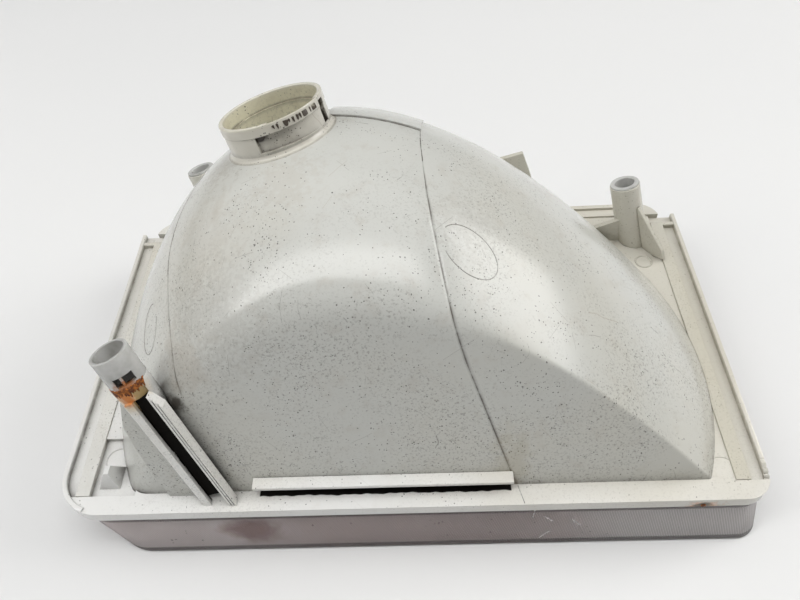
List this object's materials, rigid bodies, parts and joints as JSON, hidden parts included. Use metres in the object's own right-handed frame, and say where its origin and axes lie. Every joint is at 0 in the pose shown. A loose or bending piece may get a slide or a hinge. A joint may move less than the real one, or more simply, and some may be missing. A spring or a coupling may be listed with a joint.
{
  "type": "car headlight assembly",
  "caption": "Rectangular plastic car headlight housing with a leaning parabolic bowl, open bulb collar, hollow aiming towers, edge rails and a clear fluted lens.",
  "frame": {"origin": "middle of the lens face, which the lamp rests on", "axes": "+Z from the lens face to the bulb collar, +X along the lamp's width, -Y towards the lamp's top edge"},
  "size_m": [0.2307, 0.1432, 0.1164],
  "materials": {
    "aged_housing": "aged off-white moulded plastic",
    "mirror_coating": "vacuum aluminised skin",
    "clear_lens": "clear moulded plastic with fine flutes",
    "sealant": "dark bonding sealant",
    "rusted_steel": "rusted",
    "nylon_socket": "translucent nylon"
  },
  "bodies": {
    "root": {"reflector_bowl": "aged_housing", "mounting_flange": "aged_housing", "left_side_rail": "aged_housing", "right_side_rail": "aged_housing", "left_side_ridge": "aged_housing", "right_side_ridge": "aged_housing", "rear_flange_rail": "aged_housing", "bulb_collar": "aged_housing", "collar_base_ring": "aged_housing", "left_aim_tower": "aged_housing", "left_tower_rails": "aged_housing", "left_tower_gusset": "aged_housing", "right_aim_tower": "aged_housing", "right_tower_gusset": "aged_housing", "right_tower_ribs": "aged_housing", "rear_pivot_tower": "aged_housing", "rear_bracket_tab": "aged_housing", "front_ledge": "aged_housing", "corner_wedge": "aged_housing", "reflector_coating": "mirror_coating", "outer_lens": "clear_lens", "lens_sealant": "sealant", "lens_retaining_pin": "rusted_steel", "left_aim_socket": "nylon_socket", "right_aim_socket": "nylon_socket", "rear_pivot_socket": "nylon_socket"}
  },
  "joints": []
}
